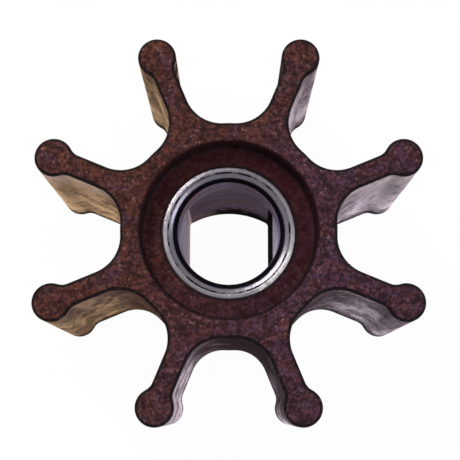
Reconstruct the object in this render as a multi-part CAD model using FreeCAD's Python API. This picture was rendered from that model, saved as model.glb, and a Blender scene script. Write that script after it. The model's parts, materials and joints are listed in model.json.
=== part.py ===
import FreeCAD, Part
import math
import os

# Flexible-vane pump impeller: one rubber moulding, bonded round a metal drive insert.
# Millimetres. The origin lies on the bore axis at the rear face, +Z points out of the front face,
# and the drive flats face +X and -X.

# Rubber moulding
outside_diameter = 65.0
impeller_width = 40.0
vane_count = 8
first_vane_angle = 22.5
vane_thickness = 3.5
vane_root_radius = 5.9
bulb_radius = 3.0
bulb_neck_radius = 2.3
moulded_edge_break = 0.3

# Recess round the insert in each hub face
front_recess_depth = 4.0
rear_recess_depth = 2.0
recess_floor_width = 3.1
recess_wall_lean = 0.4
recess_foot_chamfer = 0.5
recess_lip_chamfer = 0.3
hub_rim_width = 2.8

# Drive insert: its end face outside the bore's mouth, and the grooves that lock the rubber
insert_face_width = 0.65
insert_edge_chamfer = 0.35
bond_groove_count = 3
bond_groove_width = 2.4
bond_groove_depth = 0.4

# Front end of the insert's hole: a shallow bevel, a steep lead-in and a round pilot
shaft_bore_diameter = 16.0
mouth_bevel_width = 0.65
mouth_bevel_depth = 0.4
lead_in_width = 0.85
lead_in_length = 1.6
pilot_length = 4.0

# Drive hole behind the pilot: two flats inside the bore's circle, joined by bowed ends that clear it
flat_depth = 0.9
slot_end_clearance = 0.15
slot_end_radius = 14.0
slot_corner_radius = 0.8
slot_rear_chamfer = 0.4

# Worked out from the sizes above
bore_radius = shaft_bore_diameter / 2
mouth_radius = bore_radius + lead_in_width + mouth_bevel_width
insert_radius = mouth_radius + insert_face_width + insert_edge_chamfer
flat_half = bore_radius - flat_depth
slot_half_length = bore_radius + slot_end_clearance
recess_foot = insert_radius + recess_floor_width
recess_mouth = recess_foot + recess_wall_lean
hub_radius = recess_mouth + hub_rim_width
half_vane = vane_thickness / 2
bulb_centre = outside_diameter / 2 - bulb_radius
pitch_angle = 360.0 / vane_count
insert_rear = rear_recess_depth
insert_front = impeller_width - front_recess_depth
lead_in_top = insert_front - mouth_bevel_depth
pilot_top = lead_in_top - lead_in_length
ledge_height = pilot_top - pilot_length

# Reach of a cut past the face it opens, share of its room that a fillet may fill, and edge matching
overrun = 1.0
fillet_share = 0.95
flat_tolerance = 0.001

origin = FreeCAD.Vector(0, 0, 0)
bore_axis = FreeCAD.Vector(0, 0, 1)


# Arc of less than half a turn about a middle point, from one point to the other
def arc_about(middle, start, end):
    halfway = (start - middle) + (end - middle)
    halfway.normalize()
    return Part.Arc(start, middle + halfway * (start - middle).Length, end).toShape()


def line(start, end):
    return Part.LineSegment(start, end).toShape()


# Edges of a solid that lie in the level plane at a height
def edges_at(solid, height):
    return [edge for edge in solid.Edges
            if abs(edge.BoundBox.ZMin - height) < flat_tolerance
            and abs(edge.BoundBox.ZMax - height) < flat_tolerance]


# Solid of revolution about the bore axis from its corners (radius from the axis, height)
def turned(corners):
    points = [FreeCAD.Vector(radius, 0, height) for radius, height in corners]
    profile = Part.makePolygon(points + [points[0]])
    return Part.Face(profile).revolve(origin, bore_axis, 360)


# Radius at the foot of a vane, held back only where its neighbour or the bulb leaves no room
def fitted_root_radius(neck_x):
    half_pitch = math.sin(math.radians(pitch_angle / 2))
    between_vanes = (hub_radius * half_pitch - half_vane) / (1 - half_pitch)
    along_vane = (neck_x ** 2 - hub_radius ** 2 + half_vane ** 2) / (2 * (hub_radius - half_vane))
    return min(vane_root_radius, fillet_share * between_vanes, fillet_share * along_vane)


# Outline of one vane along +X: hub valley, root, side, neck, bulb, and the same back to the hub
def vane_outline():
    neck_y = half_vane + bulb_neck_radius
    neck_reach = bulb_radius + bulb_neck_radius
    neck_x = bulb_centre - math.sqrt(neck_reach ** 2 - neck_y ** 2)
    root_radius = fitted_root_radius(neck_x)
    root_y = half_vane + root_radius
    root_x = math.sqrt((hub_radius + root_radius) ** 2 - root_y ** 2)
    bulb = FreeCAD.Vector(bulb_centre, 0, 0)

    def side_points(side):
        root_middle = FreeCAD.Vector(root_x, side * root_y, 0)
        neck_middle = FreeCAD.Vector(neck_x, side * neck_y, 0)
        on_hub = root_middle * (hub_radius / (hub_radius + root_radius))
        on_bulb = bulb + (neck_middle - bulb) * (bulb_radius / neck_reach)
        root_end = FreeCAD.Vector(root_x, side * half_vane, 0)
        neck_start = FreeCAD.Vector(neck_x, side * half_vane, 0)
        return root_middle, neck_middle, on_hub, root_end, neck_start, on_bulb

    root_a, neck_a, hub_a, foot_a, shank_a, bulb_a = side_points(-1)
    root_b, neck_b, hub_b, foot_b, shank_b, bulb_b = side_points(1)
    previous_hub = FreeCAD.Rotation(bore_axis, -pitch_angle).multVec(hub_b)
    tip = FreeCAD.Vector(outside_diameter / 2, 0, 0)
    return [
        arc_about(origin, previous_hub, hub_a),
        arc_about(root_a, hub_a, foot_a),
        line(foot_a, shank_a),
        arc_about(neck_a, shank_a, bulb_a),
        Part.Arc(bulb_a, tip, bulb_b).toShape(),
        arc_about(neck_b, bulb_b, shank_b),
        line(shank_b, foot_b),
        arc_about(root_b, foot_b, hub_b),
    ]


# Hub and vanes as one bar of the impeller's outline
def vaned_bar():
    outline = []
    for i in range(vane_count):
        for edge in vane_outline():
            placed = edge.copy()
            placed.rotate(origin, bore_axis, first_vane_angle + i * pitch_angle)
            outline.append(placed)
    return Part.Face(Part.Wire(outline)).extrude(bore_axis * impeller_width)


# Outside of the insert between its end chamfers, grooves included, from the rear to the front
def grooved_outside():
    corners = []
    spacing = (insert_front - insert_rear) / (bond_groove_count + 1)
    groove_floor = insert_radius - bond_groove_depth
    for i in range(bond_groove_count):
        middle = insert_rear + (i + 1) * spacing
        low = middle - bond_groove_width / 2
        high = middle + bond_groove_width / 2
        corners += [
            (insert_radius, low),
            (groove_floor, low + bond_groove_depth),
            (groove_floor, high - bond_groove_depth),
            (insert_radius, high),
        ]
    return corners


# One hub face's recess from its mouth to the insert, where inward is +1 at the rear and -1 in front
def recess_corners(face_height, depth, inward):
    floor = face_height + inward * depth
    return [
        (recess_mouth, face_height - inward * overrun),
        (recess_mouth, face_height),
        (recess_foot, floor - inward * recess_foot_chamfer),
        (recess_foot - recess_foot_chamfer, floor),
        (insert_radius + recess_lip_chamfer, floor),
        (insert_radius, floor + inward * recess_lip_chamfer),
    ]


# Rubber moulding: the bar, hollowed for both recesses and the insert, its end edges broken
def rubber_body():
    rear_recess = recess_corners(0, rear_recess_depth, 1)
    front_recess = recess_corners(impeller_width, front_recess_depth, -1)
    hollow = turned(
        [(0, -overrun)]
        + rear_recess
        + grooved_outside()
        + front_recess[::-1]
        + [(0, impeller_width + overrun)]
    )
    body = vaned_bar().cut(hollow)
    end_edges = edges_at(body, 0) + edges_at(body, impeller_width)
    return body.makeChamfer(moulded_edge_break, end_edges)


# Drive hole as a bar from behind the insert up to the ledges: flats, bowed ends, rounded corners
def drive_slot():
    end_centre = slot_half_length - slot_end_radius
    corner_y = end_centre + math.sqrt(slot_end_radius ** 2 - flat_half ** 2)
    right_low = FreeCAD.Vector(flat_half, -corner_y, 0)
    right_high = FreeCAD.Vector(flat_half, corner_y, 0)
    left_high = FreeCAD.Vector(-flat_half, corner_y, 0)
    left_low = FreeCAD.Vector(-flat_half, -corner_y, 0)
    outline = Part.Wire([
        line(right_low, right_high),
        arc_about(FreeCAD.Vector(0, end_centre, 0), right_high, left_high),
        line(left_high, left_low),
        arc_about(FreeCAD.Vector(0, -end_centre, 0), left_low, right_low),
    ])
    slot_length = ledge_height - insert_rear + overrun
    slot = Part.Face(outline).extrude(bore_axis * slot_length)
    corners = [edge for edge in slot.Edges if edge.BoundBox.ZLength > slot_length / 2]
    slot = slot.makeFillet(slot_corner_radius, corners)
    slot.translate(bore_axis * (insert_rear - overrun))
    return slot


# Metal insert: turned outside and stepped mouth, then the drive hole with its rear edge chamfered
def drive_insert():
    blank = turned(
        [
            (0, insert_rear),
            (insert_radius - insert_edge_chamfer, insert_rear),
            (insert_radius, insert_rear + insert_edge_chamfer),
        ]
        + grooved_outside()
        + [
            (insert_radius, insert_front - insert_edge_chamfer),
            (insert_radius - insert_edge_chamfer, insert_front),
            (mouth_radius, insert_front),
            (mouth_radius - mouth_bevel_width, lead_in_top),
            (bore_radius, pilot_top),
            (bore_radius, ledge_height),
            (0, ledge_height),
        ]
    )
    insert = blank.cut(drive_slot())
    slot_edges = [edge for edge in edges_at(insert, insert_rear)
                  if edge.BoundBox.DiagonalLength < 2 * mouth_radius]
    return insert.makeChamfer(slot_rear_chamfer, slot_edges)


os.makedirs("parts", exist_ok=True)
rubber_body().exportStep("parts/rubber_body.step")
drive_insert().exportStep("parts/drive_insert.step")
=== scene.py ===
import json
import math

import bpy
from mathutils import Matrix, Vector

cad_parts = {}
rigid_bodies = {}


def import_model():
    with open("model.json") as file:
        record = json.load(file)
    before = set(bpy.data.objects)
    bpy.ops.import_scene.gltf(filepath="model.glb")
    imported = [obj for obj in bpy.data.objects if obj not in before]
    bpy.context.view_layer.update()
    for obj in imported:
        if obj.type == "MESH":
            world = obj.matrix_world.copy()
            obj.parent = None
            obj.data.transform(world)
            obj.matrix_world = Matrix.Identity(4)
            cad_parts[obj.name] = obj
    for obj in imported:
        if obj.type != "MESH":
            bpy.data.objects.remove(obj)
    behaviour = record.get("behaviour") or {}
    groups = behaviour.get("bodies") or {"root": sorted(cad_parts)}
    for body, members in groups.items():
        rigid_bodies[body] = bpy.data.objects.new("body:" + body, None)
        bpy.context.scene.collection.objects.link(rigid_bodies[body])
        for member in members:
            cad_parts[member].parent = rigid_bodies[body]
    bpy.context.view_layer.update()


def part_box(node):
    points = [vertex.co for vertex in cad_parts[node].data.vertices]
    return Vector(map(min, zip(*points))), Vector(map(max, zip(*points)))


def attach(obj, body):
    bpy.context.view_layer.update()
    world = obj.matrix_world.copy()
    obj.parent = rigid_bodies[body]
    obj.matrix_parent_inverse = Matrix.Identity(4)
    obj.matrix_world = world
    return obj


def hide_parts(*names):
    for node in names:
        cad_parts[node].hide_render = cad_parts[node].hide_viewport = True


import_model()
mm = 0.001
origin = (0, 0, 0)
upwards = (0, 0, 1)
looseGap = 0.01 * mm  # points or heights closer than this count as one
weldGap = 0.004 * mm  # where spun or mirrored lines meet
finalGap = 0.002 * mm  # no two points of a finished mesh are closer


# Helpers for drawing outlines and tidying meshes

def deselectAll():
    if bpy.context.mode != "OBJECT":
        bpy.ops.object.mode_set(mode="OBJECT")
    bpy.ops.object.select_all(action="DESELECT")


def makeActive(piece):
    deselectAll()
    piece.select_set(True)
    bpy.context.view_layer.objects.active = piece


def selectParts(piece, kind, wanted):  # selects the vertices, edges or faces that pass, in edit mode
    bpy.ops.object.mode_set(mode="EDIT")
    bpy.ops.mesh.select_mode(type=kind)
    bpy.ops.mesh.select_all(action="DESELECT")
    bpy.ops.object.mode_set(mode="OBJECT")
    data = piece.data
    for item in {"VERT": data.vertices, "EDGE": data.edges, "FACE": data.polygons}[kind]:
        item.select = wanted(item)
    bpy.ops.object.mode_set(mode="EDIT")


def edgeHeights(piece, edge):
    return sorted(piece.data.vertices[i].co.z for i in edge.vertices)


def isLevel(piece, edge):
    low, high = edgeHeights(piece, edge)
    return high - low < looseGap


def liesBetween(piece, edge, low, high):
    return all(low - looseGap < height < high + looseGap for height in edgeHeights(piece, edge))


def startPoint(name, place):  # one point, selected in edit mode, ready to be drawn out
    deselectAll()
    bpy.ops.mesh.primitive_plane_add(size=1 * mm, location=origin)
    piece = bpy.context.object
    piece.name = name
    piece.data.name = name
    bpy.ops.object.mode_set(mode="EDIT")
    bpy.ops.mesh.select_mode(type="VERT")
    bpy.ops.mesh.select_all(action="SELECT")
    bpy.ops.mesh.merge(type="CENTER")
    bpy.ops.transform.translate(value=place)
    return piece


def drawLine(start, end, steps=1):  # extrudes the selected point along a straight line
    stride = (Vector(end) - Vector(start)) / steps
    for _ in range(steps):
        bpy.ops.mesh.extrude_region_move(TRANSFORM_OT_translate={"value": stride})
    return Vector(end)


def drawArc(middle, start, end, steps, axis=upwards):  # spins the selected point the short way round
    toStart = Vector(start) - Vector(middle)
    toEnd = Vector(end) - Vector(middle)
    turn = toStart.angle(toEnd)
    if toStart.cross(toEnd).dot(Vector(axis)) > 0:  # spin turns clockwise about its axis
        turn = -turn
    bpy.ops.mesh.spin(steps=steps, dupli=False, angle=turn, center=middle, axis=axis)
    return Vector(end)


def drawProfile(name, corners):  # a section in the XZ plane: (radius, height, steps) with straight lines
    pen = Vector((corners[0][0], 0, corners[0][1]))
    piece = startPoint(name, pen)
    for radius, height, steps in corners[1:]:
        pen = drawLine(pen, (radius, 0, height), steps)
    return piece


def lathe(piece, steps):  # spins the whole section once round the Z axis
    bpy.ops.mesh.select_all(action="SELECT")
    bpy.ops.mesh.spin(steps=steps, dupli=False, angle=2 * math.pi, center=origin, axis=upwards)
    bpy.ops.mesh.select_all(action="SELECT")
    bpy.ops.mesh.remove_doubles(threshold=weldGap)


def roundCorner(before, corner, after, radius, steps):  # points of a fillet where two lines meet
    back = (Vector(before) - Vector(corner)).normalized()
    ahead = (Vector(after) - Vector(corner)).normalized()
    half = back.angle(ahead) / 2
    reach = radius / math.tan(half)
    middle = Vector(corner) + (back + ahead).normalized() * (radius / math.sin(half))
    first = Vector(corner) + back * reach - middle
    last = Vector(corner) + ahead * reach - middle
    sweep = first.angle(last)
    points = []
    for i in range(steps + 1):
        share = i / steps
        points.append(
            middle
            + first * (math.sin((1 - share) * sweep) / math.sin(sweep))
            + last * (math.sin(share * sweep) / math.sin(sweep))
        )
    return [(point.x, point.y, 1) for point in points]


def finishMesh(piece, smoothAngle):
    makeActive(piece)
    bpy.ops.object.mode_set(mode="EDIT")
    bpy.ops.mesh.select_all(action="SELECT")
    bpy.ops.mesh.remove_doubles(threshold=finalGap)
    bpy.ops.mesh.normals_make_consistent(inside=False)
    bpy.ops.object.mode_set(mode="OBJECT")
    bpy.ops.object.shade_smooth_by_angle(angle=math.radians(smoothAngle))
    deselectAll()


# Node helpers

def newMaterial(name):
    material = bpy.data.materials.new(name)
    material.use_nodes = True
    nodes = material.node_tree.nodes
    return material, nodes["Principled BSDF"]


def link(tree, source, target):
    tree.links.new(source, target)


def valueOrLink(tree, item, socket):
    if isinstance(item, bpy.types.NodeSocket):
        link(tree, item, socket)
    else:
        socket.default_value = item


def calc(tree, operation, first, second=0.0, third=0.0):
    node = tree.nodes.new("ShaderNodeMath")
    node.operation = operation
    for socket, item in zip(node.inputs, (first, second, third)):
        valueOrLink(tree, item, socket)
    return node.outputs[0]


def times(tree, first, *others):  # the product of sockets and numbers
    for other in others:
        first = calc(tree, "MULTIPLY", first, other)
    return first


def addShare(tree, base, value, share):
    return calc(tree, "MULTIPLY_ADD", value, share, base)


def distance(tree, across, along):
    return calc(tree, "SQRT", addShare(tree, times(tree, along, along), across, across))


def past(tree, value, size):  # how far a place in mm lies beyond a size in metres
    return calc(tree, "SUBTRACT", value, size / mm)


def between(tree, value, start, end, atStart=0.0, atEnd=1.0):  # smooth step from one value to another
    node = tree.nodes.new("ShaderNodeMapRange")
    node.interpolation_type = "SMOOTHSTEP"
    valueOrLink(tree, value, node.inputs["Value"])
    node.inputs["From Min"].default_value = start
    node.inputs["From Max"].default_value = end
    node.inputs["To Min"].default_value = atStart
    node.inputs["To Max"].default_value = atEnd
    return node.outputs["Result"]


def mixColours(tree, amount, first, second):
    node = tree.nodes.new("ShaderNodeMix")
    node.data_type = "RGBA"
    valueOrLink(tree, amount, node.inputs["Factor"])
    valueOrLink(tree, first, node.inputs[6])
    valueOrLink(tree, second, node.inputs[7])
    return node.outputs[2]


def tinted(tree, colour, tone, *shares):  # mixes another colour in by the product of the shares
    return mixColours(tree, times(tree, *shares), colour, tone)


def noise(tree, place, size, detail=4.0, roughness=0.55, distortion=0.0):  # size in mm
    node = tree.nodes.new("ShaderNodeTexNoise")
    link(tree, place, node.inputs["Vector"])
    node.inputs["Scale"].default_value = 1 / size
    node.inputs["Detail"].default_value = detail
    node.inputs["Roughness"].default_value = roughness
    node.inputs["Distortion"].default_value = distortion
    return node.outputs["Fac"]


def placeInMm(tree):  # Object coordinates in millimetres, with their parts and the distance from the axis
    coords = tree.nodes.new("ShaderNodeTexCoord")
    scale = tree.nodes.new("ShaderNodeVectorMath")
    scale.operation = "SCALE"
    scale.inputs["Scale"].default_value = 1 / mm
    link(tree, coords.outputs["Object"], scale.inputs[0])
    parts = tree.nodes.new("ShaderNodeSeparateXYZ")
    link(tree, scale.outputs[0], parts.inputs[0])
    x, y, z = parts.outputs
    return scale.outputs[0], x, y, z, distance(tree, x, y)


def stretched(tree, place, factors):
    node = tree.nodes.new("ShaderNodeMapping")
    link(tree, place, node.inputs["Vector"])
    node.inputs["Scale"].default_value = factors
    return node.outputs[0]


def pattern(tree, place, recipe):  # noise, stretched and cut between two levels where the recipe says so
    if "stretch" in recipe:
        place = stretched(tree, place, recipe["stretch"])
    value = noise(tree, place, *recipe["noise"])
    return between(tree, value, *recipe["levels"]) if "levels" in recipe else value


def bumpStack(tree, layers):  # (height, distance in mm, strength) from the coarsest to the finest
    normal = None
    for height, rise, strength in layers:
        node = tree.nodes.new("ShaderNodeBump")
        node.inputs["Distance"].default_value = rise * mm
        valueOrLink(tree, strength, node.inputs["Strength"])
        link(tree, height, node.inputs["Height"])
        if normal is not None:
            link(tree, normal, node.inputs["Normal"])
        normal = node.outputs["Normal"]
    return normal


# Rubber moulding: hub, eight vanes with bulbs, and a recess in each end

rubberLow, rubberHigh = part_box("rubber_body")
insertLow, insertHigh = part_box("drive_insert")
rubberSizes = {
    "vanes": 8,
    "firstVane": math.radians(22.5),
    "halfVane": 1.75 * mm,
    "bulbRadius": 3.0 * mm,
    "neckRadius": 2.3 * mm,
    "rootRadius": 5.9 * mm,
    "hubRadius": 16.8 * mm,
    "edgeRound": 0.48 * mm,
    "recessMouth": 14.0 * mm,
    "recessFoot": 13.6 * mm,
    "footRound": 0.6 * mm,
    "lipRound": 0.35 * mm,
    "seatRound": 0.18 * mm,
    "faceMargin": 0.25 * mm,
    "seatLand": 1.2 * mm,  # the recess floor next to the insert has smaller faces
    "seatMargin": 0.1 * mm,
    "farOut": 20.0 * mm,  # gives the level lines their direction where they meet a fillet
    "hubSteps": 3,
    "rootSteps": 12,
    "wallSteps": 2,
    "neckSteps": 5,
    "bulbSteps": 14,
    "edgeSteps": 4,
    "lipSteps": 4,
    "footSteps": 6,
    "seatSteps": 3,
    "turnSteps": 144,
    "smoothAngle": 35,
}


def drawHalfVane(name, height):  # from the middle of a hub valley to the tip of the vane along +X
    s = rubberSizes
    bulbCentre = (rubberHigh[0] - s["bulbRadius"]) / math.cos(s["firstVane"])
    rootY = s["halfVane"] + s["rootRadius"]
    rootX = math.sqrt((s["hubRadius"] + s["rootRadius"]) ** 2 - rootY ** 2)
    neckY = s["halfVane"] + s["neckRadius"]
    neckX = bulbCentre - math.sqrt((s["bulbRadius"] + s["neckRadius"]) ** 2 - neckY ** 2)
    hub = Vector((0, 0, height))
    root = Vector((rootX, -rootY, height))
    neck = Vector((neckX, -neckY, height))
    bulb = Vector((bulbCentre, 0, height))
    halfPitch = math.pi / s["vanes"]
    pen = hub + s["hubRadius"] * Vector((math.cos(halfPitch), -math.sin(halfPitch), 0))
    piece = startPoint(name, pen)
    pen = drawArc(hub, pen, hub + s["hubRadius"] * (root - hub).normalized(), s["hubSteps"])
    pen = drawArc(root, pen, root + Vector((0, s["rootRadius"], 0)), s["rootSteps"])
    pen = drawLine(pen, (neckX, -s["halfVane"], height), s["wallSteps"])
    pen = drawArc(neck, pen, bulb + s["bulbRadius"] * (neck - bulb).normalized(), s["neckSteps"])
    drawArc(bulb, pen, bulb + Vector((s["bulbRadius"], 0, 0)), s["bulbSteps"])
    return piece


def turnAllCopies(count, step):  # keeps the drawn lines and adds count - 1 copies of them round the axis
    bpy.ops.mesh.select_all(action="SELECT")
    bpy.ops.mesh.spin(steps=count - 1, dupli=True, angle=-step * (count - 1), center=origin, axis=upwards)


def findOpenEdges(piece):  # the edges with a face on one side only
    bpy.ops.object.mode_set(mode="OBJECT")
    faceCount = {}
    for face in piece.data.polygons:
        for key in face.edge_keys:
            faceCount[key] = faceCount.get(key, 0) + 1
    return {edge.index for edge in piece.data.edges if faceCount.get(edge.key) == 1}


def makeRubberBody():
    s = rubberSizes
    margin = s["faceMargin"]

    # the half vane is mirrored, turned to the place of the first vane without leaving a copy behind, and
    # then repeated round the hub, filled and drawn up
    piece = drawHalfVane("rubberBody", rubberLow[2])
    bpy.ops.mesh.select_all(action="SELECT")
    bpy.ops.mesh.duplicate()
    bpy.ops.transform.resize(value=(1, -1, 1), center_override=origin)
    turnAllCopies(2, s["firstVane"])
    bpy.ops.mesh.select_all(action="INVERT")
    bpy.ops.mesh.delete(type="VERT")
    turnAllCopies(s["vanes"], 2 * math.pi / s["vanes"])
    bpy.ops.mesh.select_all(action="SELECT")
    bpy.ops.mesh.remove_doubles(threshold=looseGap)
    bpy.ops.mesh.edge_face_add()
    bpy.ops.mesh.extrude_region_move(TRANSFORM_OT_translate={"value": (0, 0, rubberHigh[2] - rubberLow[2])})
    bpy.ops.mesh.select_all(action="SELECT")
    bpy.ops.mesh.normals_make_consistent(inside=False)

    # round the moulded rims of both ends, and keep the flat faces flat with a margin inside each rim
    bpy.ops.object.mode_set(mode="OBJECT")
    selectParts(piece, "EDGE", lambda edge: isLevel(piece, edge))
    bpy.ops.mesh.bevel(offset=s["edgeRound"], segments=s["edgeSteps"], profile=0.5, affect="EDGES")
    bpy.ops.object.mode_set(mode="OBJECT")
    endFaces = {face.index for face in sorted(piece.data.polygons, key=lambda face: face.area)[-2:]}
    selectParts(piece, "FACE", lambda face: face.index in endFaces)
    bpy.ops.mesh.inset(thickness=margin, depth=0)
    bpy.ops.mesh.delete(type="ONLY_FACE")

    # the recesses and the seat of the insert are one section, spun inside the outline
    front, rear = rubberHigh[2], rubberLow[2]
    frontFloor, rearFloor = insertHigh[2], insertLow[2]
    far, mouth, foot, seat = s["farOut"], s["recessMouth"], s["recessFoot"], insertHigh[0]
    lip = s["lipRound"], s["lipSteps"]
    footTurn = s["footRound"], s["footSteps"]
    seatTurn = s["seatRound"], s["seatSteps"]
    land = seat + s["seatLand"]
    seatEdge = seat + s["seatRound"] + s["seatMargin"]
    flatEdge = mouth + s["lipRound"] + margin
    corners = [(flatEdge, front, 1)]
    corners += roundCorner((far, front), (mouth, front), (foot, frontFloor), *lip)
    corners += roundCorner((mouth, front), (foot, frontFloor), (0, frontFloor), *footTurn)
    corners += [(land, frontFloor, 2), (seatEdge, frontFloor, 1)]
    corners += roundCorner((far, frontFloor), (seat, frontFloor), (seat, rearFloor), *seatTurn)
    corners += roundCorner((seat, frontFloor), (seat, rearFloor), (far, rearFloor), *seatTurn)
    corners += [(seatEdge, rearFloor, 1), (land, rearFloor, 1)]
    corners += roundCorner((0, rearFloor), (foot, rearFloor), (mouth, rear), *footTurn)
    corners += roundCorner((foot, rearFloor), (mouth, rear), (far, rear), *lip)
    corners += [(flatEdge, rear, 1)]
    recess = drawProfile("recessTool", corners)
    lathe(recess, s["turnSteps"])
    bpy.ops.object.mode_set(mode="OBJECT")
    makeActive(piece)
    recess.select_set(True)
    bpy.ops.object.join()

    for height in (front, rear):
        openEdges = findOpenEdges(piece)
        selectParts(
            piece, "EDGE", lambda edge: edge.index in openEdges and liesBetween(piece, edge, height, height)
        )
        bpy.ops.mesh.fill(use_beauty=True)
    finishMesh(piece, s["smoothAngle"])
    return piece


rubberLook = {
    # umber and plum: the rubber under painted warm light and under painted cool light
    "warmLitUmber": (0.098, 0.031, 0.018, 1),
    "maroon": (0.072, 0.017, 0.019, 1),
    "coolLitPlum": (0.066, 0.030, 0.056, 1),
    # soot for the blotches and speckle, and also for painted shade in the valleys
    "sootAndShade": (0.010, 0.004, 0.006, 1),
    "rust": (0.125, 0.036, 0.020, 1),
    "violet": (0.068, 0.032, 0.066, 1),
    "scuff": (0.255, 0.138, 0.134, 1),
    # black for painted shade on the rims, at the foot of the walls and in the creases
    "shadeBlack": (0.004, 0.003, 0.004, 1),
    "recess": (0.032, 0.004, 0.007, 1),
    # wall bloom: dust and painted reflection, tinted by painted warm and cool light
    "warmLitDust": (0.188, 0.132, 0.100, 1),
    "coolLitDust": (0.170, 0.136, 0.150, 1),
    # colour of the painted highlight on the upper side vanes
    "paintedHighlight": (0.56, 0.46, 0.44, 1),

    # patterns: noise as size in mm, detail, roughness and distortion, and the levels it is cut between
    "clouds": {"noise": (6.0, 5.0, 0.6, 0.8), "levels": (0.35, 0.68)},
    "streaks": {"noise": (2.0, 4.0, 0.6), "stretch": (0.6, 2.4, 0.3), "levels": (0.40, 0.64)},
    "blotches": {"noise": (1.3, 4.0, 0.65, 0.5), "levels": (0.44, 0.62)},
    "speckle": {"noise": (0.55, 2.0, 0.6), "levels": (0.44, 0.60)},
    "scuffs": {"noise": (0.55, 3.0, 0.6), "stretch": (1, 1, 0.2), "levels": (0.55, 0.72)},
    "stains": {"noise": (2.6, 3.0, 0.6, 0.6)},
    "bloomAndSheen": {"noise": (1.6, 4.0, 0.65), "stretch": (1, 1, 0.35), "levels": (0.35, 0.66, 0.35, 1.0)},
    "wear": {"noise": (1.1, 4.0, 0.65), "stretch": (1, 1, 0.5), "levels": (0.42, 0.62, 0.14, 0.34)},
    "patches": {"noise": (3.6, 2.0, 0.5), "stretch": (1, 1, 0.45), "levels": (0.38, 0.62, -0.12, 0.14)},
    "grain": {"noise": (0.30, 4.0, 0.65)},
    "waves": {"noise": (3.0, 2.0, 0.5)},

    # how strongly each pattern or place is coloured, or its levels and then the strength at either end
    "streakShare": 0.75,
    "rustLevels": (0.52, 0.66, 0.0, 0.40),
    "violetLevels": (0.34, 0.48, 0.40, 0.0),
    "scuffShare": 0.65,
    "blotchShare": 0.62,
    "speckleShare": 0.74,
    "recessMottle": (0.2, 1.8, 0.60, 0.92),
    "rimScuffs": (0.0, 1.0, 0.92, 0.55),
    "dustAndSheenShare": 0.40,
    "innerDustAndSheen": 0.4,
    "paintedHighlightShare": 0.8,
    "footShadowShare": 0.75,
    "wallShadeShare": 0.55,
    "creaseShadeShare": 0.7,

    # where each place starts and ends in mm, then its strength at either end
    "sideLean": -0.6,
    "sideSway": 14.0,
    "sideChange": (-12.0, 28.0),
    "litDustChange": (-26.0, 18.0),
    "steepness": (0.25, 0.75, 1.0, 0.0),  # of the upward part of the normal, not in mm
    "beyondRecess": (0.6, 1.2),  # from the mouth of the recess
    "outwards": (17.0, 22.5),
    "sidesFrom": (-2.0, 6.0),
    "sidesTo": (13.0, 18.0, 1.0, 0.0),
    "paintedHighlightHeight": (28.0, 37.0),
    "footShadowHeight": (1.0, 7.0, 1.0, 0.0),
    "footShadowLineSway": 1.2,
    "footShadowLineHeight": (1.6, 3.2, 1.0, 0.0),
    # where the painted shade on the valley walls lies
    "valleyShadeSway": 3.0,
    "valleyShadePlaces": [(6.0, -21.0, 8.0, 11.5), (0.0, 25.0, 9.8, 11.2)],
    "recessEdge": (-0.25, 0.2, 1.0, 0.0),  # from the mouth of the recess
    "recessLean": 0.6,
    "recessShade": (-12.0, 12.0, 0.50, 1.12),
    "recessCorner": (-0.5, -0.1),  # from the foot of the recess wall
    "insertJoint": (0.25, 0.55, 1.0, 0.0),  # from the insert
    "rimFrom": (0.0005, 0.006),  # from either end
    "rimTo": (0.35, 0.75, 1.0, 0.0),
    "upperLeftY": (16.0, 21.0),
    "upperLeftX": (-6.0, -2.0, 1.0, 0.0),
    "lowerFrom": (-23.0, -19.0),
    "lowerTo": (-9.0, -3.0, 1.0, 0.0),

    # roughness, and what each place adds to it
    "faceRoughness": 0.60,
    "blotchRoughness": 0.15,
    "hubRoughness": 0.40,
    "wallShadeRoughness": 0.50,
    "lowerRoughness": 0.14,
    "upperLeftRoughness": 0.08,
    "upperSidesRoughness": -0.06,
    "rimRoughness": 0.8,
    "specular": 0.10,

    # bumps: distance in mm and strength
    "waveBump": (0.20, 0.4),
    "grainDistance": 0.08,
    "faceGrain": 0.8,
    "wallGrain": 0.15,
}


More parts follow.
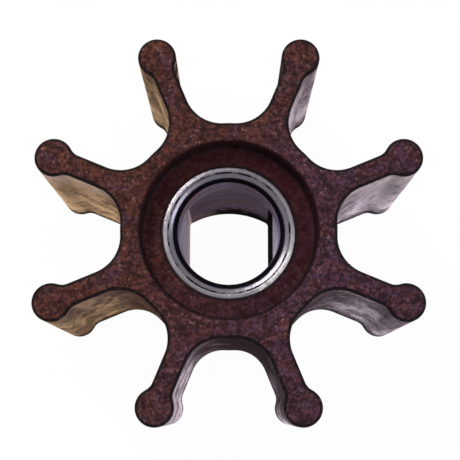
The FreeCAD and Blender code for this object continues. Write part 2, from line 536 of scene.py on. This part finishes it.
def makeRubberMaterial():
    k = rubberLook
    material, shader = newMaterial("mouldedRubber")
    tree = material.node_tree
    place, x, y, z, radius = placeInMm(tree)
    beyondSeat = past(tree, radius, insertHigh[0])
    beyondFoot = past(tree, radius, rubberSizes["recessFoot"])
    beyondMouth = past(tree, radius, rubberSizes["recessMouth"])
    facing = tree.nodes.new("ShaderNodeSeparateXYZ")
    link(tree, tree.nodes.new("ShaderNodeTexCoord").outputs["Normal"], facing.inputs[0])
    flatness = calc(tree, "ABSOLUTE", facing.outputs["Z"])

    # mottled colour, with painted warm light on one side and painted cool light on the other
    clouds = pattern(tree, place, k["clouds"])
    blotches = pattern(tree, place, k["blotches"])
    scuffs = pattern(tree, place, k["scuffs"])
    stains = pattern(tree, place, k["stains"])
    slant = addShare(tree, x, y, k["sideLean"])
    side = between(tree, addShare(tree, slant, clouds, k["sideSway"]), *k["sideChange"])
    colour = mixColours(tree, side, k["warmLitUmber"], k["coolLitPlum"])
    colour = tinted(tree, colour, k["maroon"], pattern(tree, place, k["streaks"]), k["streakShare"])
    colour = tinted(tree, colour, k["rust"], between(tree, stains, *k["rustLevels"]))
    colour = tinted(tree, colour, k["violet"], between(tree, stains, *k["violetLevels"]))
    colour = tinted(tree, colour, k["scuff"], scuffs, k["scuffShare"])
    colour = tinted(tree, colour, k["sootAndShade"], blotches, k["blotchShare"])
    colour = tinted(tree, colour, k["sootAndShade"], pattern(tree, place, k["speckle"]), k["speckleShare"])

    # pale bloom on the outer walls, partly dust and partly painted reflection, warm on one side and cool on
    # the other as painted light, and a painted highlight near the front face of the upper side vanes
    wall = between(tree, flatness, *k["steepness"])
    outside = between(tree, beyondMouth, *k["beyondRecess"])
    outerWall = times(tree, wall, outside)
    dustAndSheenOutward = between(tree, radius, *k["outwards"], k["innerDustAndSheen"], 1.0)
    bloomAndSheen = times(tree, pattern(tree, place, k["bloomAndSheen"]), outerWall, dustAndSheenOutward)
    dustAndSheen = mixColours(tree, between(tree, slant, *k["litDustChange"]), k["warmLitDust"], k["coolLitDust"])
    colour = tinted(tree, colour, dustAndSheen, bloomAndSheen, k["dustAndSheenShare"])
    # a painted highlight on the upper side vanes near the front face
    upperSides = times(tree, between(tree, y, *k["sidesFrom"]), between(tree, y, *k["sidesTo"]))
    paintedHighlight = times(tree, upperSides, bloomAndSheen, between(tree, z, *k["paintedHighlightHeight"]))
    colour = tinted(tree, colour, k["paintedHighlight"], paintedHighlight, k["paintedHighlightShare"])

    # painted shadow at the foot of the outer walls, and painted shade on the walls of the upper and lower
    # valley
    footShadow = times(tree, outerWall, between(tree, z, *k["footShadowHeight"]))
    colour = tinted(tree, colour, k["shadeBlack"], footShadow, k["footShadowShare"])
    # a black painted contact shadow line at the foot of the outer walls
    footShadowLine = between(tree, addShare(tree, z, blotches, k["footShadowLineSway"]), *k["footShadowLineHeight"])
    footShadowLine = times(tree, outerWall, footShadowLine)
    colour = tinted(tree, colour, k["shadeBlack"], footShadowLine)
    # painted shade on the walls of the upper and lower valley
    paintedWallShade = 0.0
    for middleX, middleY, reach, end in k["valleyShadePlaces"]:
        away = distance(tree, calc(tree, "SUBTRACT", x, middleX), calc(tree, "SUBTRACT", y, middleY))
        away = addShare(tree, away, clouds, k["valleyShadeSway"])
        paintedWallShade = calc(tree, "MAXIMUM", between(tree, away, reach, end, 1.0, 0.0), paintedWallShade)
    paintedWallShade = times(tree, wall, paintedWallShade)
    colour = tinted(tree, colour, k["sootAndShade"], paintedWallShade, k["wallShadeShare"])

    # dark recesses, partly darker moulded rubber and partly painted shade, with more painted shade at one
    # side, at the foot and against the insert
    inRecess = between(tree, beyondMouth, *k["recessEdge"])
    mottle = between(tree, calc(tree, "ADD", blotches, clouds), *k["recessMottle"])
    shade = between(tree, addShare(tree, y, x, k["recessLean"]), *k["recessShade"])
    colour = tinted(tree, colour, k["recess"], inRecess, mottle, shade)
    # painted shade in the crease at the foot of the recess wall and against the insert
    corner = times(tree, inRecess, between(tree, beyondFoot, *k["recessCorner"]))
    jointShade = between(tree, beyondSeat, *k["insertJoint"])
    colour = tinted(tree, colour, k["shadeBlack"], calc(tree, "MAXIMUM", corner, jointShade), k["creaseShadeShare"])

    # painted shade on the rounded rims at both ends
    fromEnd = calc(tree, "MINIMUM", calc(tree, "SUBTRACT", rubberHigh[2] / mm, z), z)
    rim = times(tree, between(tree, fromEnd, *k["rimFrom"]), between(tree, fromEnd, *k["rimTo"]))
    rim = times(tree, rim, outside, between(tree, scuffs, *k["rimScuffs"]))
    colour = tinted(tree, colour, k["shadeBlack"], rim)
    link(tree, colour, shader.inputs["Base Color"])

    # glossy walls with duller places, and dull faces
    wallRough = calc(tree, "ADD", pattern(tree, place, k["wear"]), pattern(tree, place, k["patches"]))
    nearHub = between(tree, radius, *k["outwards"], 1.0, 0.0)
    wallRough = addShare(tree, wallRough, calc(tree, "MAXIMUM", nearHub, footShadow), k["hubRoughness"])
    wallRough = addShare(tree, wallRough, calc(tree, "MAXIMUM", paintedWallShade, footShadowLine), k["wallShadeRoughness"])
    lower = times(tree, between(tree, y, *k["lowerFrom"]), between(tree, y, *k["lowerTo"]))
    wallRough = addShare(tree, wallRough, lower, k["lowerRoughness"])
    upperLeft = times(tree, between(tree, y, *k["upperLeftY"]), between(tree, x, *k["upperLeftX"]))
    wallRough = addShare(tree, wallRough, upperLeft, k["upperLeftRoughness"])
    wallRough = addShare(tree, wallRough, upperSides, k["upperSidesRoughness"])
    faceRough = addShare(tree, k["faceRoughness"], blotches, k["blotchRoughness"])
    rough = times(tree, calc(tree, "SUBTRACT", 1.0, wall), faceRough)
    rough = addShare(tree, rough, wall, wallRough)
    rough = addShare(tree, rough, times(tree, rim, wall), k["rimRoughness"])
    link(tree, rough, shader.inputs["Roughness"])
    shader.inputs["Specular IOR Level"].default_value = k["specular"]

    # gentle waves, and a grain that is fainter on the walls than on the faces
    waves = pattern(tree, place, k["waves"])
    grain = pattern(tree, place, k["grain"])
    grainStrength = between(tree, wall, 0.0, 1.0, k["faceGrain"], k["wallGrain"])
    bumps = [(waves, *k["waveBump"]), (grain, k["grainDistance"], grainStrength)]
    link(tree, bumpStack(tree, bumps), shader.inputs["Normal"])
    return material


# Drive insert: a turned metal bush with a stepped hole that has two flats

insertSizes = {
    "outerRadius": insertHigh[0],
    "outerChamfer": 0.35 * mm,
    "faceInner": 9.72 * mm,
    "lineWidth": 0.30 * mm,
    "lineDepth": 0.10 * mm,
    "bevelInner": 8.85 * mm,
    "bevelDepth": 0.4 * mm,
    "pilotRadius": 8.0 * mm,
    "pilotTop": 34.0 * mm,
    "ledge": 30.0 * mm,
    "flatHalf": 7.1 * mm,
    "slotHalf": 8.05 * mm,
    "slotEndRadius": 14.0 * mm,
    "slotCornerRadius": 0.8 * mm,
    "slotFlare": 0.4 * mm,
    "overrun": 0.3 * mm,
    "chamferBulge": (0.35, 0.25),  # shares of the chamfer, for a point that rounds it

    # small breaks of the turned edges, in radius and height
    "faceBreak": 0.03 * mm,
    "lineBreak": 0.02 * mm,
    "bevelBreak": (0.05 * mm, 0.03 * mm),
    "pilotBreak": (0.04 * mm, 0.08 * mm, 0.05 * mm),

    "flatSteps": 2,
    "cornerSteps": 5,
    "endSteps": 8,
    "turnSteps": 144,
    "smoothAngle": 30,
}


def drawSlotLoop(name, grow, height):  # the hole with two flats as one closed loop, grown outwards
    s = insertSizes
    flat = s["flatHalf"] + grow
    corner = s["slotCornerRadius"] + grow
    endRadius = s["slotEndRadius"] + grow
    endMiddle = s["slotHalf"] - s["slotEndRadius"]
    cornerX = flat - corner
    cornerY = endMiddle + math.sqrt((endRadius - corner) ** 2 - cornerX ** 2)
    cornerMiddle = Vector((cornerX, cornerY, height))
    arcMiddle = Vector((0, endMiddle, height))
    pen = Vector((flat, 0, height))
    piece = startPoint(name, pen)
    pen = drawLine(pen, (flat, cornerY, height), s["flatSteps"])
    cornerEnd = arcMiddle + endRadius * (cornerMiddle - arcMiddle).normalized()
    pen = drawArc(cornerMiddle, pen, cornerEnd, s["cornerSteps"])
    drawArc(arcMiddle, pen, arcMiddle + Vector((0, endRadius, 0)), s["endSteps"])
    for mirror in ((-1, 1, 1), (1, -1, 1)):
        bpy.ops.mesh.select_all(action="SELECT")
        bpy.ops.mesh.duplicate()
        bpy.ops.transform.resize(value=mirror, center_override=origin)
        bpy.ops.mesh.select_all(action="SELECT")
        bpy.ops.mesh.remove_doubles(threshold=weldGap)
    bpy.ops.object.mode_set(mode="OBJECT")
    return piece


def makeSlotTool():
    s = insertSizes
    rear = insertLow[2]
    levels = [  # how far the slot is grown outwards, and at which height
        (s["slotFlare"] + s["overrun"], rear - s["overrun"]),
        (0, rear + s["slotFlare"]),
        (0, s["ledge"]),
    ]
    loops = [drawSlotLoop("slotLoop%d" % i, grow, height) for i, (grow, height) in enumerate(levels)]
    makeActive(loops[0])
    for loop in loops[1:]:
        loop.select_set(True)
    bpy.ops.object.join()
    tool = bpy.context.object
    heights = [level[1] for level in levels]
    for low, high in zip(heights, heights[1:]):
        selectParts(tool, "EDGE", lambda edge: liesBetween(tool, edge, low, high))
        bpy.ops.mesh.bridge_edge_loops()
    for height in (heights[0], heights[-1]):
        selectParts(tool, "VERT", lambda point: abs(point.co.z - height) < looseGap)
        bpy.ops.mesh.edge_face_add()
    finishMesh(tool, s["smoothAngle"])
    return tool


def makeDriveInsert():
    s = insertSizes
    outer, chamfer = s["outerRadius"], s["outerChamfer"]
    rear, front = insertLow[2], insertHigh[2]
    face, bevel, pilot = s["faceInner"], s["bevelInner"], s["pilotRadius"]
    lineFloor, bevelFoot = front - s["lineDepth"], front - s["bevelDepth"]
    corners = [
        (0, rear, 1),
        (outer - chamfer, rear, 3),
        (outer, rear + chamfer, 2),
        (outer, front - chamfer, 4),
        (outer - chamfer * s["chamferBulge"][0], front - chamfer * s["chamferBulge"][1], 2),
        (outer - chamfer, front, 2),
        (face + s["faceBreak"], front, 2),
        (face, front - s["lineBreak"], 1),
        (face - s["lineBreak"], lineFloor, 1),
        (face - s["lineWidth"], lineFloor - s["lineBreak"], 1),
        (bevel + s["bevelBreak"][0], bevelFoot + s["bevelBreak"][1], 3),
        (bevel, bevelFoot - s["bevelBreak"][1], 1),
        (pilot + s["pilotBreak"][0], s["pilotTop"] + s["pilotBreak"][1], 3),
        (pilot, s["pilotTop"] - s["pilotBreak"][2], 1),
        (pilot, s["ledge"], 4),
        (0, s["ledge"], 2),
    ]
    piece = drawProfile("driveInsert", corners)
    lathe(piece, s["turnSteps"])
    bpy.ops.mesh.normals_make_consistent(inside=False)
    bpy.ops.object.mode_set(mode="OBJECT")
    tool = makeSlotTool()
    makeActive(piece)
    cut = piece.modifiers.new("slot", "BOOLEAN")
    cut.operation = "DIFFERENCE"
    cut.solver = "EXACT"
    cut.object = tool
    bpy.ops.object.modifier_apply(modifier=cut.name)
    bpy.data.objects.remove(tool)
    finishMesh(piece, s["smoothAngle"])
    return piece


insertLook = {
    "steel": (0.48, 0.44, 0.49, 1),
    # bevel: the steel painted as shade, also the tone of the turning marks
    "bevel": (0.24, 0.22, 0.27, 1),
    # near white for painted highlights
    "highlightWhite": (0.96, 0.93, 0.98, 1),
    # black for painted shade on the steel
    "steelShadeBlack": (0.006, 0.005, 0.008, 1),
    "boreDull": (0.22, 0.18, 0.30, 1),
    "boreBrown": (0.25, 0.16, 0.18, 1),
    # boreHighlight: painted highlight streaks in the bore
    "boreHighlight": (0.46, 0.42, 0.54, 1),
    # boreLit: the left flat painted as lit
    "boreLit": (0.72, 0.70, 0.80, 1),
    # ledge: the upward ledges painted brighter as lit
    "ledge": (0.55, 0.50, 0.60, 1),

    # patterns as for the rubber, and how finely radius, height and turn divide the turning marks
    "turning": (7.0, 4.0, 1.2),
    "rings": {"noise": (1.0, 3.0, 0.6)},
    "patches": {"noise": (1.4, 4.0, 0.6)},
    "bands": {"noise": (5.0, 3.0, 0.6), "stretch": (0.25, 0.25, 1.0), "levels": (0.46, 0.56)},
    "streaks": {
        "noise": (2.2, 4.0, 0.6, 0.8), "stretch": (0.35, 0.35, 1.6), "levels": (0.52, 0.68, 0.0, 0.75)
    },
    "ringLevels": (0.45, 0.75, 0.0, 0.55),
    "glintLevels": (0.35, 0.6, 0.5, 1.0),
    "topShadeLevels": (0.35, 0.6, 0.4, 0.9),
    "brokenHighlightLevels": (0.42, 0.54),
    "lineLevels": (0.40, 0.6, 0.55, 1.0),

    # where each place starts and ends in mm, measured from the size that bounds it
    "steelFrom": (-0.02, 0.13),
    "lineFrom": (-0.02, 0.04),
    "lineTo": (-0.02, 0.04, 1.0, 0.0),
    "lineHeight": (-0.8, -0.6),
    "leadInRadius": (-0.09, -0.01, 1.0, 0.0),
    "leadInHeight": (0.15, 0.35),
    "leadInLean": -0.03,
    "glintFrom": (-0.02, 0.08),
    "boreRadius": (-0.2, -0.1, 1.0, 0.0),
    "boreTop": (0.4, 0.6, 1.0, 0.0),
    "boreRear": (0.02, 0.2),
    "slotTop": (-0.4, -0.2, 1.0, 0.0),
    "leftFlat": (0.15, 0.55, 1.0, 0.0),
    "rightFlat": (-0.6, -0.2),
    "ledgeFrom": (-0.2, -0.05),
    "ledgeTo": (0.02, 0.15, 1.0, 0.0),
    "rearShadeSway": 12.0,
    "rearShadeHeight": (10.0, 18.0, 1.0, 0.0),

    # where each place starts and ends in mm, measured from the axis
    "glintLean": -0.6,
    "glintRight": (9.0, 11.5),
    "glintLeft": (-9.8, -7.5, 0.35, 0.0),
    "topShadeY": (5.0, 10.0),
    "brokenHighlightLean": -0.8,
    "brokenHighlightSide": (11.1, 12.4),
    "rearShadeX": (-6.5, -1.0),

    # how metallic and how rough
    "wallShadeShare": 0.95,
    "boreDullness": 0.65,
    "flatDullness": 0.25,
    "brokenHighlightDullness": 0.7,
    "roughness": 0.2,
    "patchRoughness": 0.2,
    "boreRoughness": 0.6,

    # bumps: distance in mm and strength
    "patchBump": (0.10, 0.5),
    "ringBump": (0.06, 0.8),
}


def makeInsertMaterial():
    k, s = insertLook, insertSizes
    material, shader = newMaterial("turnedSteel")
    tree = material.node_tree
    place, x, y, z, radius = placeInMm(tree)
    pastBevel = past(tree, radius, s["bevelInner"])
    pastLine = past(tree, radius, s["faceInner"] - s["lineWidth"])
    pastFaceEdge = past(tree, radius, s["faceInner"])
    aboveLedge = past(tree, z, s["ledge"])
    abovePilot = past(tree, z, s["pilotTop"])
    turning = tree.nodes.new("ShaderNodeCombineXYZ")
    marks = (radius, z, calc(tree, "ARCTAN2", y, x))
    for value, fineness, socket in zip(marks, k["turning"], turning.inputs):
        link(tree, times(tree, value, fineness), socket)
    rings = pattern(tree, turning.outputs[0], k["rings"])
    patches = pattern(tree, place, k["patches"])

    # bright face and a greyer bevel painted as shade, with painted glints at two sides, painted shade at the
    # top and broken painted highlights
    colour = mixColours(tree, between(tree, pastLine, *k["steelFrom"]), k["bevel"], k["steel"])
    colour = tinted(tree, colour, k["bevel"], between(tree, rings, *k["ringLevels"]))
    # painted glints, near white, on the face at the lower right and the left
    paintedGlint = between(tree, addShare(tree, x, y, k["glintLean"]), *k["glintRight"])
    paintedGlint = calc(tree, "MAXIMUM", paintedGlint, between(tree, x, *k["glintLeft"]))
    paintedGlint = times(tree, paintedGlint, between(tree, patches, *k["glintLevels"]))
    colour = tinted(tree, colour, k["highlightWhite"], paintedGlint, between(tree, pastFaceEdge, *k["glintFrom"]))
    # painted shade at the top of the ring
    topShade = between(tree, patches, *k["topShadeLevels"])
    colour = tinted(tree, colour, k["bevel"], topShade, between(tree, y, *k["topShadeY"]))
    # a broken painted highlight at the lower right, white and only partly metal
    brokenHighlight = between(tree, addShare(tree, x, y, k["brokenHighlightLean"]), *k["brokenHighlightSide"])
    brokenHighlight = times(tree, brokenHighlight, between(tree, patches, *k["brokenHighlightLevels"]))
    colour = tinted(tree, colour, k["highlightWhite"], brokenHighlight)

    # a black line painted as shade in the groove between face and bevel, and black painted shade in the
    # lead-in
    line = times(tree, between(tree, pastLine, *k["lineFrom"]), between(tree, pastFaceEdge, *k["lineTo"]))
    line = times(tree, line, between(tree, past(tree, z, insertHigh[2]), *k["lineHeight"]))
    line = times(tree, line, between(tree, patches, *k["lineLevels"]))
    leadIn = between(tree, addShare(tree, abovePilot, y, k["leadInLean"]), *k["leadInHeight"])
    leadIn = times(tree, leadIn, between(tree, pastBevel, *k["leadInRadius"]))
    paintedShade = calc(tree, "MAXIMUM", line, leadIn)

    # dull bore with faint bands painted as reflections and streaks painted as highlights, painted light on
    # the left flat, painted shade on the right flat and towards the rear end, and two ledges painted
    # brighter as lit
    bore = between(tree, past(tree, radius, s["outerRadius"]), *k["boreRadius"])
    bore = times(tree, bore, between(tree, abovePilot, *k["boreTop"]))
    aboveRear = past(tree, z, insertLow[2])
    bore = times(tree, bore, between(tree, aboveRear, *k["boreRear"]))
    dull = mixColours(tree, pattern(tree, place, k["bands"]), k["boreDull"], k["boreBrown"])
    dull = tinted(tree, dull, k["boreHighlight"], pattern(tree, place, k["streaks"]))
    inSlot = between(tree, aboveLedge, *k["slotTop"])
    leftFlat = times(tree, inSlot, between(tree, past(tree, x, -s["flatHalf"]), *k["leftFlat"]))
    colour = tinted(tree, colour, tinted(tree, dull, k["boreLit"], leftFlat), bore)
    rearShade = between(tree, addShare(tree, aboveRear, patches, k["rearShadeSway"]), *k["rearShadeHeight"])
    rearShade = times(tree, rearShade, between(tree, x, *k["rearShadeX"]))
    rightFlat = times(tree, inSlot, between(tree, past(tree, x, s["flatHalf"]), *k["rightFlat"]))
    paintedWallShade = times(tree, bore, calc(tree, "MAXIMUM", rearShade, rightFlat), k["wallShadeShare"])
    ledge = times(tree, between(tree, aboveLedge, *k["ledgeFrom"]), between(tree, aboveLedge, *k["ledgeTo"]))
    notLedge = calc(tree, "SUBTRACT", 1.0, ledge)
    paintedShade = times(tree, calc(tree, "MAXIMUM", paintedShade, paintedWallShade), notLedge)
    colour = tinted(tree, colour, k["steelShadeBlack"], paintedShade)
    colour = tinted(tree, colour, k["ledge"], ledge)
    link(tree, colour, shader.inputs["Base Color"])

    # bare metal but for the painted shade, the dull bore and the broken painted highlights
    dullBore = times(tree, bore, notLedge)
    notMetal = times(tree, dullBore, between(tree, leftFlat, 0.0, 1.0, k["boreDullness"], k["flatDullness"]))
    notMetal = calc(tree, "MAXIMUM", paintedShade, notMetal)
    notMetal = calc(tree, "MAXIMUM", times(tree, brokenHighlight, k["brokenHighlightDullness"]), notMetal)
    link(tree, calc(tree, "SUBTRACT", 1.0, notMetal), shader.inputs["Metallic"])
    shader.inputs["Specular IOR Level"].default_value = 0.0
    rough = addShare(tree, k["roughness"], patches, k["patchRoughness"])
    rough = calc(tree, "MAXIMUM", rough, times(tree, dullBore, k["boreRoughness"]))
    link(tree, rough, shader.inputs["Roughness"])
    bumps = [(patches, *k["patchBump"]), (rings, *k["ringBump"])]
    link(tree, bumpStack(tree, bumps), shader.inputs["Normal"])
    return material


# Pale floor, soft light and the camera

studio = {
    "floorSize": 4.0,
    "floorWhite": (0.95, 0.95, 0.95, 1),
    "floorGlow": 0.97,
    # painted warm and cool light in the floor's glow, seen only in reflections
    "glowWarm": (0.90, 0.58, 0.33, 1),
    "glowCool": (0.98, 0.82, 0.96, 1),
    "glowLean": -0.45,
    "glowChange": (-0.013, 0.007),
    "white": (1, 1, 1, 1),
    "horizonLight": 0.75,
    "overheadLight": 0.45,
    "skyRise": (0.15, 0.95),
    "whiteSkyline": (0.1, 0.5, 1.0, 0.0),
    "lamps": [
        ("lampLeft", (-0.30, 0.40, 0.50), 0.30, 3.4, (1.0, 0.95, 0.90)),
        ("lampRight", (0.50, -0.15, 0.40), 0.30, 1.3, (0.90, 0.93, 1.0)),
    ],
    "lens": 101.74,
    "sensor": 36.0,
    "nearest": 0.01,
    "cameraPlace": (0.186 * mm, -27.75 * mm, 238.27 * mm),
    "cameraTilt": math.radians(7.93),
}


def seenDirectly(tree):  # whether a ray comes from the camera, and whether gloss or glass sends it on
    path = tree.nodes.new("ShaderNodeLightPath")
    onward = calc(tree, "MAXIMUM", path.outputs["Is Glossy Ray"], path.outputs["Is Transmission Ray"])
    return path.outputs["Is Camera Ray"], onward


def makeFloor():
    k = studio
    deselectAll()
    bpy.ops.mesh.primitive_plane_add(size=k["floorSize"], location=origin)
    floor = bpy.context.object
    floor.name = "paleFloor"
    material, shader = newMaterial("palePaper")
    tree = material.node_tree
    shader.inputs["Base Color"].default_value = k["floorWhite"]
    shader.inputs["Roughness"].default_value = 1.0
    shader.inputs["Specular IOR Level"].default_value = 0.0
    glow = tree.nodes.new("ShaderNodeEmission")
    blend = tree.nodes.new("ShaderNodeMixShader")
    seen, onward = seenDirectly(tree)
    share = times(tree, calc(tree, "MAXIMUM", seen, onward), k["floorGlow"])
    coords = tree.nodes.new("ShaderNodeTexCoord")
    parts = tree.nodes.new("ShaderNodeSeparateXYZ")
    link(tree, coords.outputs["Object"], parts.inputs[0])
    # the glow seen in reflections is painted warm light on one side and painted cool light on the other
    slant = addShare(tree, parts.outputs["X"], parts.outputs["Y"], k["glowLean"])
    tint = mixColours(tree, between(tree, slant, *k["glowChange"]), k["glowWarm"], k["glowCool"])
    link(tree, mixColours(tree, onward, k["white"], tint), glow.inputs["Color"])
    link(tree, share, blend.inputs[0])
    link(tree, shader.outputs[0], blend.inputs[1])
    link(tree, glow.outputs[0], blend.inputs[2])
    link(tree, blend.outputs[0], tree.nodes["Material Output"].inputs["Surface"])
    floor.data.materials.append(material)


def makeWorld():
    k = studio
    world = bpy.data.worlds.new("studioWorld")
    bpy.context.scene.world = world
    world.use_nodes = True
    tree = world.node_tree
    background = tree.nodes["Background"]
    coords = tree.nodes.new("ShaderNodeTexCoord")
    direction = tree.nodes.new("ShaderNodeSeparateXYZ")
    link(tree, coords.outputs["Generated"], direction.inputs[0])
    light = between(tree, direction.outputs["Z"], *k["skyRise"], k["horizonLight"], k["overheadLight"])
    seen, onward = seenDirectly(tree)
    skyline = between(tree, direction.outputs["Z"], *k["whiteSkyline"])
    share = calc(tree, "MAXIMUM", seen, times(tree, onward, skyline))
    strength = addShare(tree, light, share, calc(tree, "SUBTRACT", 1.0, light))
    link(tree, strength, background.inputs["Strength"])
    background.inputs["Color"].default_value = k["white"]


def makeLamps():
    for name, place, size, power, colour in studio["lamps"]:
        deselectAll()
        bpy.ops.object.light_add(type="AREA", location=place)
        lamp = bpy.context.object
        lamp.name = name
        lamp.data.size = size
        lamp.data.energy = power
        lamp.data.color = colour
        lamp.rotation_euler = (-Vector(place)).to_track_quat("-Z", "Y").to_euler()


def makeCamera():
    deselectAll()
    bpy.ops.object.camera_add(location=studio["cameraPlace"], rotation=(studio["cameraTilt"], 0, 0))
    camera = bpy.context.object
    camera.name = "photoCamera"
    camera.data.lens = studio["lens"]
    camera.data.sensor_width = studio["sensor"]
    camera.data.clip_start = studio["nearest"]
    bpy.context.scene.camera = camera


bpy.context.scene.view_settings.view_transform = "Standard"
makeCamera()
makeFloor()
makeWorld()
makeLamps()
print("studio ready")

rubberBody = makeRubberBody()
rubberBody.data.materials.append(makeRubberMaterial())
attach(rubberBody, "root")
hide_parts("rubber_body")
print("rubber body:", len(rubberBody.data.polygons), "faces")

driveInsert = makeDriveInsert()
driveInsert.data.materials.append(makeInsertMaterial())
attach(driveInsert, "root")
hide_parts("drive_insert")
print("drive insert:", len(driveInsert.data.polygons), "faces")
